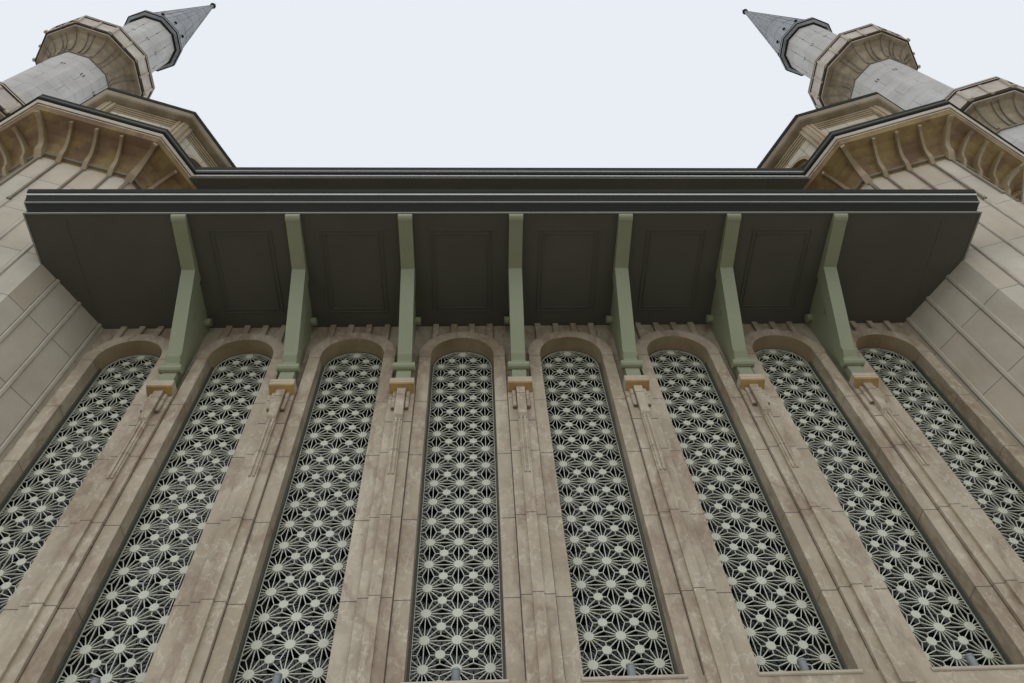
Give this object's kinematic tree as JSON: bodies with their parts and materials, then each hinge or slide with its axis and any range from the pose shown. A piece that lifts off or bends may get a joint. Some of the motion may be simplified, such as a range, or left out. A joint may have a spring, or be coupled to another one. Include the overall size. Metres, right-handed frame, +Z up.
{
  "type": "mosque building, a scale model at 1:2",
  "caption": "Domed prayer hall, made at half size, with tall arched windows under a bracketed canopy, octagonal corner towers, low wings and slender minarets.",
  "frame": {"origin": "middle of the underside, at the centre of the prayer hall", "axes": "+Z up, -Y out of the entrance front, +X to the right as seen from the front"},
  "size_m": [21.2956, 12.4552, 30.59],
  "materials": {
    "stone": "honed marble slabs",
    "cladding": "honed pale stone slabs",
    "dark_trim": "dark bronze paint",
    "sage_metal": "sage green paint",
    "lead": "weathered grey sheet",
    "glass": "dark glazing",
    "gilt": "gilded"
  },
  "bodies": {
    "root": {"floor_slab": "stone", "front_wall": "stone", "rear_wall": "stone", "right_wall": "stone", "left_wall": "stone", "front_window_1": "glass", "front_window_2": "glass", "front_window_3": "glass", "front_window_4": "glass", "front_window_5": "glass", "front_window_6": "glass", "front_window_7": "glass", "front_window_8": "glass", "rear_windows": "glass", "right_windows": "glass", "left_windows": "glass", "entrance_door": "dark_trim", "canopy": "dark_trim", "bracket_1": "sage_metal", "bracket_2": "sage_metal", "bracket_3": "sage_metal", "bracket_4": "sage_metal", "bracket_5": "sage_metal", "bracket_6": "sage_metal", "bracket_7": "sage_metal", "hall_roof": "dark_trim", "drum": "cladding", "drum_windows": "glass", "dome": "lead", "dome_finial": "gilt", "front_left_tower": "cladding", "front_left_crown": "stone", "front_left_turret": "cladding", "front_right_tower": "cladding", "front_right_crown": "stone", "front_right_turret": "cladding", "rear_left_tower": "cladding", "rear_left_crown": "stone", "rear_left_turret": "cladding", "rear_right_tower": "cladding", "rear_right_crown": "stone", "rear_right_turret": "cladding", "left_wing": "cladding", "left_wing_windows": "glass", "left_minaret_pedestal": "cladding", "left_minaret_shaft": "cladding", "left_lower_balcony": "cladding", "left_upper_balcony": "cladding", "left_spire": "lead", "right_wing": "cladding", "right_wing_windows": "glass", "right_minaret_pedestal": "cladding", "right_minaret_shaft": "cladding", "right_lower_balcony": "cladding", "right_upper_balcony": "cladding", "right_spire": "lead"}
  },
  "joints": []
}
